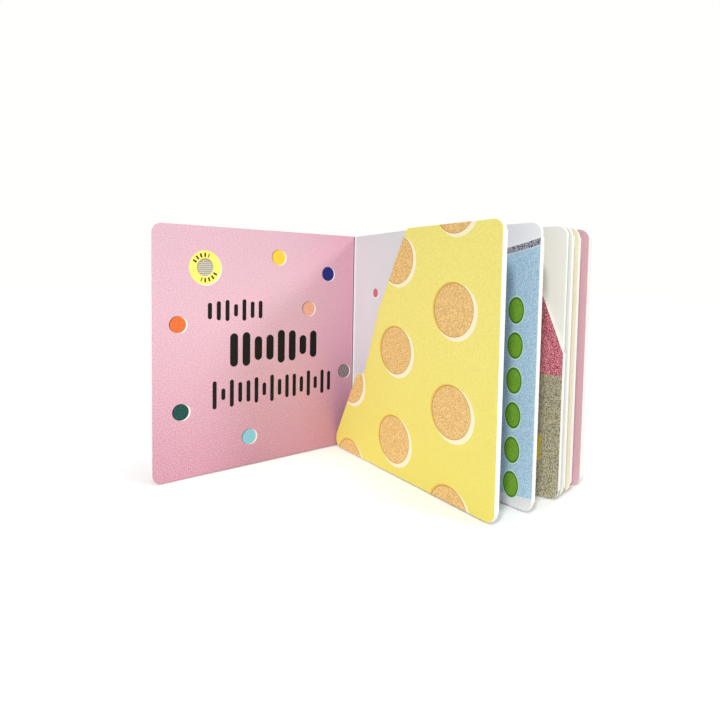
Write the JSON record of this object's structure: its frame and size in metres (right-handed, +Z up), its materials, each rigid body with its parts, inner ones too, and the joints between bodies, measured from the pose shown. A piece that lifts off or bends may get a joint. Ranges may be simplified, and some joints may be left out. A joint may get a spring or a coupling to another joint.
{
  "type": "sound book",
  "caption": "Square children's board book standing open like a fan, with a sprung sound button on its front page, die-cut flaps on its leaves and a sound module inside its thick back cover.",
  "frame": {"origin": "middle of the footprint of the open book, on the surface it stands on", "axes": "+Z up along the spine, +Y away from the reader, +X from the front cover's side to the leaves' side"},
  "size_m": [0.2882, 0.17, 0.17],
  "materials": {
    "cover_print": "printed board, satin laminate",
    "front_page_print": "speckled pink print, satin laminate",
    "back_page_print": "pink print, satin laminate",
    "leaf_board": "pale printed board, white cut edges",
    "slanted_flap_print": "yellow print with speckled orange spots, satin laminate",
    "tank_flap_print": "speckled blue print, satin laminate",
    "house_flap_print": "coral and taupe print, satin laminate",
    "plain_flap_print": "cream print, satin laminate",
    "greyboard": "uncoated grey board",
    "button_plastic": "ribbed matte plastic",
    "film": "thin translucent film",
    "steel": "bright plated steel",
    "white_plastic": "moulded white plastic",
    "circuit_laminate": "green laminate",
    "black_resin": "cast black resin",
    "speaker_steel": "dark lacquered sheet steel",
    "magnet_metal": "nickel-plated magnet",
    "cone_film": "thin translucent film",
    "red_wire": "insulated wire",
    "black_wire": "insulated wire"
  },
  "bodies": {
    "pages": {"page_block": "leaf_board", "spine_strip": "cover_print", "spine_lead": "film", "flap_slanted": "slanted_flap_print", "flap_tank": "tank_flap_print", "flap_house": "house_flap_print", "flap_plain_1": "plain_flap_print", "flap_plain_2": "plain_flap_print"},
    "front_cover": {"front_cover_board": "cover_print", "front_cover_page": "front_page_print", "switch_dome": "steel", "switch_film": "film"},
    "button": {"button_cap": "button_plastic"},
    "back_cover": {"back_cover_page": "back_page_print", "back_cover_core": "greyboard", "back_cover_panel": "cover_print", "module_housing": "white_plastic", "module_lead": "film", "circuit_board": "circuit_laminate", "sound_chip": "black_resin", "speaker_frame": "speaker_steel", "speaker_magnet": "magnet_metal", "speaker_cone": "cone_film", "speaker_wire_upper": "red_wire", "speaker_wire_lower": "black_wire", "battery_door": "white_plastic", "battery_door_screw": "steel", "contact_minus": "steel", "contact_link": "steel", "door_contact_link": "steel", "door_contact_plus": "steel", "battery_cell_1": "steel", "battery_cell_2": "steel", "battery_cell_3": "steel"}
  },
  "joints": [
    {"name": "front_cover_hinge", "type": "hinge", "parent": "pages", "child": "front_cover", "pos_m": [-0.0073, 0.06757, 0], "axis": [0, 0, -1], "range_deg": [0, 75]},
    {"name": "button_press", "type": "slide", "parent": "front_cover", "child": "button", "axis": [-0.6032, 0.7976, 0], "range_m": [0, 0.00035], "stiffness_N_per_m": 300},
    {"name": "back_cover_hinge", "type": "hinge", "parent": "pages", "child": "back_cover", "pos_m": [0.00496, 0.07786, 0], "axis": [0, 0, 1], "range_deg": [-3, 75]}
  ]
}
